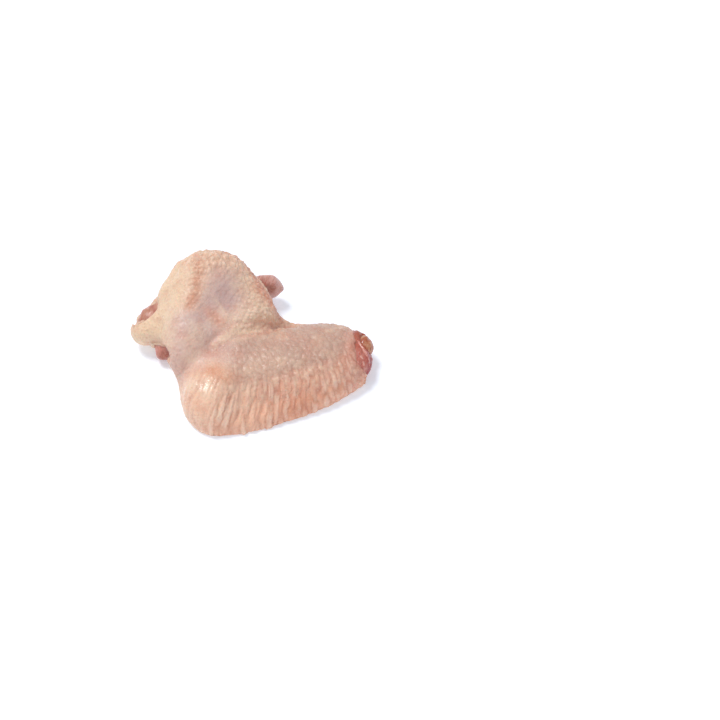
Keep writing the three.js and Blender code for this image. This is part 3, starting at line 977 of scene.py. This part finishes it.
MEAT_WASHES = [  # a colour, how strong, how wide in mm, and the path it runs along
    # the low lump, and under the flap
    (BROWN_RED, 0.85, 4.5, [(-37, -2, 6), (-34, -8, 12)]),
    (TORN_BROWN, 0.9, 7, [(-52, 12, 11), (-44, 17, 16)]),
    # the tongue, with its hollow painted darker brown-red as shade
    (PALE_MEAT, 0.95, 8, MEAT_TONGUE),
    (BROWN_RED, 0.75, 3.6, HOLLOW),
    # the stump
    (RUST, 0.95, 8, [(50, 4, 12), (51, -4, 11), (52, -12, 8)]),
    (CRIMSON, 0.9, 3.4, [(53.3, -7, 9.5), (53.3, -9, 8.5), (52.4, -12, 6)]),
    # the shoulder, with the clefts between its muscles painted darker as shade
    (BROWN_RED, 0.5, 1.6, CLEFTS[0]),
    (BROWN_RED, 0.5, 1.6, CLEFTS[1]),
    (BROWN_RED, 0.4, 1.6, CLEFTS[2]),
    (MILKY, 0.7, 9, [JOINT_HEAD, JOINT_HEAD]),
    # scraps and pale strands on the stump
    (BROWN_RED, 0.7, 2.6, WRIST_CHUNK),
    (STRAND_PINK, 0.75, 1.1, [(49.3, -0.5, 12.6), (51, -4.5, 12), (52.6, -8, 9.8)]),
    (STRAND_PINK, 0.75, 1.5, [(50, -7.5, 11.8), (51.2, -11, 9.5), (51, -15, 7)]),
]


def meat_colours(xyz):
    """Raw pink, washed over, with fat on top."""
    colour = np.tile(RAW_PINK, (len(xyz), 1))
    ragged = 1 + 0.4 * noise(xyz / 3, seed=34)
    for wash, strength, width, path in MEAT_WASHES:
        colour = washed(colour, wash, strength * near(xyz, path, width) * ragged)
    return washed(colour, FAT, 0.95 * clinging_fat(xyz))


paint(flesh, "colour", meat_colours(points(flesh)))
paint(flesh, "lean", 1 - 0.85 * clinging_fat(points(flesh)))
paint(flesh, "milky", 1 - 0.85 * spot(points(flesh), WRIST, WRIST_REACH))

# %% Its finish
CLOT = srgb(176, 84, 74)
DARK_FIBRE = srgb(166, 84, 74)
PALE_FIBRE = srgb(242, 208, 196)


def meat_finish():
    """Clots, dark and pale fibres, a milky film, and a wet coat over them."""
    meat = Finish("raw_meat")
    place = meat.place()
    fibre = meat.cloudy(meat.stretched(place, (0.55, 8, 0.55), turn=(0, 0, -12)), roughness=0.6)
    film = meat.cloudy(meat.stretched(place, (5, 9, 5)), detail=4)
    clots = meat.cloudy(meat.stretched(place, (3, 4, 3), turn=(20, 0, 0)))
    grain = meat.cloudy(meat.stretched(place, (0.6, 0.6, 0.6)), detail=2)
    lean, milky = meat.painted("lean"), meat.painted("milky")
    colour = meat.painted("colour", "Color")
    colour = meat.tinted(colour, CLOT, clots.between(0.5, 0.7) * lean * 0.5)
    colour = meat.tinted(colour, DARK_FIBRE, fibre.between(0.5, 0.34) * lean * 0.45)
    colour = meat.tinted(colour, PALE_FIBRE, fibre.between(0.56, 0.7) * milky * 0.4)
    colour = meat.tinted(colour, MILKY, film.between(0.54, 0.66) * milky * 0.5)
    return meat.done(
        Base_Color=colour,
        Roughness=0.34 + grain * 0.2,
        Coat_Weight=0.45,
        Coat_Roughness=0.12,
        Subsurface_Weight=0.25,
        Subsurface_Radius=(1.0, 0.3, 0.2),
        Subsurface_Scale=2 * MM,
        IOR=1.4,
        Normal=meat.bumpy(fibre * 0.8 + grain * 0.4, 0.35),
    )


flesh.data.materials.append(meat_finish())
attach(flesh, "root")
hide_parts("flesh")

# %% [markdown]
# ## The knuckle
# The wing was cut through the wrist joint, so the end of a bone shows among the red: a knob of gristle, tan
# where it is clean and brown where blood has dried on it.

# %% The knob of gristle
knuckle = clay("knuckle", "wrist_knuckle", voxel=0.3, smoothing=12)
KNUCKLE_GROOVE = [(51, -2, 13), (53, 1, 12), (54, 5, 10)]


def gristle_relief(xyz):
    """Slow swells, and a groove between the knob's two halves."""
    return 0.45 + 0.25 * noise(xyz / 2.6, seed=40) - 0.7 * near(xyz, KNUCKLE_GROOVE, 0.8)


sculpt(knuckle, gristle_relief(points(knuckle)))


# %% Its finish
def gristle_finish(name, clean, blushed, stained, strength):
    """Clean gristle with a blush in clouds and stains in streaks, as strong as strength."""
    gristle = Finish(name)
    place = gristle.place()
    blush = gristle.cloudy(gristle.stretched(place, (3, 3, 3)))
    stain = gristle.cloudy(gristle.stretched(place, (1.2, 2.5, 1.2), turn=(0, 0, 20)))
    colour = gristle.tinted(clean, blushed, blush.between(0.38, 0.58) * strength)
    colour = gristle.tinted(colour, stained, stain.between(0.54, 0.68) * 0.85 * strength)
    return gristle.done(
        Base_Color=colour,
        Roughness=0.34 + blush * 0.15,
        Coat_Weight=0.5,
        Coat_Roughness=0.1,
        Subsurface_Weight=0.3,
        Subsurface_Radius=(1.0, 0.5, 0.35),
        Subsurface_Scale=2 * MM,
        Normal=gristle.bumpy(stain, 0.12),
    )


stained_gristle = gristle_finish(
    "stained_gristle",
    clean=srgb(204, 152, 118),
    blushed=srgb(178, 94, 58),
    stained=srgb(154, 68, 46),
    strength=0.95,
)
knuckle.data.materials.append(stained_gristle)
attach(knuckle, "root")
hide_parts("knuckle")
print("the flesh and the knuckle are done")

# %% [markdown]
# ## Tendons and the head of the shoulder joint
# These are too fine for the solids. Tendons are drawn as curves, four over the stump and one at the foot of
# the tongue of meat, each tapering into the meat, and a remesh melts them into one piece. The upper arm's
# bone ended in the shoulder joint, so its head shows among the cut muscles at the back. It is covered in the
# same gristle as the knuckle, but paler, because no blood dried on it.

# %% Laying things on the meat
meat_tree = tree_of(flesh.data)
TAPER = (0.5, 0.9, 1, 0.9, 0.4)  # of a strand's thickness, at its stops


def on_meat(stop, lift):
    """The nearest point on the meat to a stop in mm, lifted off it by lift mm."""
    place, outwards, _, _ = meat_tree.find_nearest(Vector(stop) * MM)
    return place + outwards * lift * MM


def strand(stops, thickness, lift):
    """A strand of thickness mm over five stops, thin at both ends."""
    bpy.ops.object.select_all(action="DESELECT")
    bpy.ops.curve.primitive_nurbs_path_add()
    path = bpy.context.object
    for point, stop, radius in zip(path.data.splines[0].points, stops, TAPER):
        point.co = (*on_meat(stop, lift), 1)
        point.radius = radius
    path.data.bevel_depth = thickness / 2 * MM
    path.data.bevel_resolution = 3
    path.data.use_fill_caps = True
    bpy.ops.object.convert(target="MESH")
    return bpy.context.object


def melted(name, parts, voxel, smoothing):
    """Parts joined, remeshed with faces of voxel mm and smoothed into one piece."""
    bpy.ops.object.select_all(action="DESELECT")
    for part in parts:
        part.select_set(True)
    bpy.context.view_layer.objects.active = parts[0]
    bpy.ops.object.join()
    piece = bpy.context.object
    piece.name = name
    bpy.ops.object.transform_apply(location=True, rotation=True, scale=True)
    evened(piece, voxel, smoothing)
    return piece


def keep(piece, finish):
    """Gives a piece that no solid stands for its finish and body."""
    piece.data.materials.clear()
    piece.data.materials.append(finish)
    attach(piece, "root")
    print(piece.name, "has", len(piece.data.polygons), "faces")


# %% Tendons
TENDON_STOPS = [
    [(48.4, 0.5, 13.5), (49.6, -2, 13.2), (50.8, -4.6, 12.7), (52, -7, 11.2), (52.6, -9.6, 9)],
    [(49.6, -1.5, 13.5), (50.8, -4, 13), (52, -6.4, 11.8), (52.8, -8.6, 9.8), (53, -10.8, 7.6)],
    [(48.6, -6, 13), (49.8, -8.6, 12.4), (50.8, -11, 11), (51.4, -13.2, 9), (51.4, -15, 7)],
    [(47.4, -9.5, 12.8), (48.6, -11.6, 11.8), (49.6, -13.6, 10), (50, -15.4, 8), (49.8, -16.8, 6)],
    [(5, 26, 18), (6.4, 28.4, 16.4), (7.4, 30, 14), (8, 30.6, 11), (8.2, 30.4, 8)],
]
THICKNESSES = (1.9, 1.5, 2.1, 1.8, 2.0)  # mm
LIFTS = (0, 0, -0.2, -0.1, 0)  # mm off the meat, or into it below 0
TENDON_ROSE = srgb(226, 154, 138)
TENDON_RED = srgb(190, 84, 66)
TENDON_HIGHLIGHT = srgb(244, 202, 188)


def tendon_finish():
    """Rose with a red blush, and pale streaks along its fibres as a painted highlight."""
    tendon = Finish("tendon")
    place = tendon.place()
    blush = tendon.cloudy(tendon.stretched(place, (2, 2, 2)))
    fibre = tendon.cloudy(tendon.stretched(place, (3, 0.4, 0.4), turn=(0, 35, -50)), detail=2)
    colour = tendon.tinted(TENDON_ROSE, TENDON_RED, blush.between(0.42, 0.6) * 0.8)
    # pale streaks along the fibres: a painted highlight
    colour = tendon.tinted(colour, TENDON_HIGHLIGHT, fibre.between(0.5, 0.66) * 0.6)
    return tendon.done(
        Base_Color=colour,
        Roughness=0.32 + blush * 0.15,
        Coat_Weight=0.4,
        Coat_Roughness=0.12,
        Subsurface_Weight=0.25,
        Subsurface_Radius=(1.0, 0.4, 0.3),
        Subsurface_Scale=1.2 * MM,
        Normal=tendon.bumpy(fibre, 0.15),
    )


drawn = [strand(*tendon) for tendon in zip(TENDON_STOPS, THICKNESSES, LIFTS)]
tendons = melted("tendons", drawn, voxel=0.22, smoothing=6)
sculpt(tendons, 0.12 * noise(points(tendons) / 1.2, seed=70))
keep(tendons, tendon_finish())

# %% The head of the shoulder joint
JOINT_RADIUS = 7  # mm
JOINT_SHAPE = (1.0, 0.92, 0.86)  # the ball is lower and shallower than it is wide
JOINT_GROOVE = [(-19, 44, 8), (-13, 46, 11), (-7, 44, 13)]


def ball():
    """The head as a squashed ball, half sunk in the meat."""
    place = Vector(JOINT_HEAD) * MM
    radius = JOINT_RADIUS * MM
    bpy.ops.mesh.primitive_uv_sphere_add(segments=32, ring_count=16, radius=radius, location=place)
    bpy.context.object.scale = JOINT_SHAPE
    return bpy.context.object


joint_head = melted("shoulder_joint", [ball()], voxel=0.5, smoothing=6)
groove = near(points(joint_head), JOINT_GROOVE, 1.3)
sculpt(joint_head, 0.3 * noise(points(joint_head) / 3, seed=71) - 0.8 * groove)
white_gristle = gristle_finish(
    "white_gristle",
    clean=srgb(230, 206, 194),
    blushed=srgb(218, 160, 146),
    stained=srgb(196, 118, 104),
    strength=0.6,
)
keep(joint_head, white_gristle)
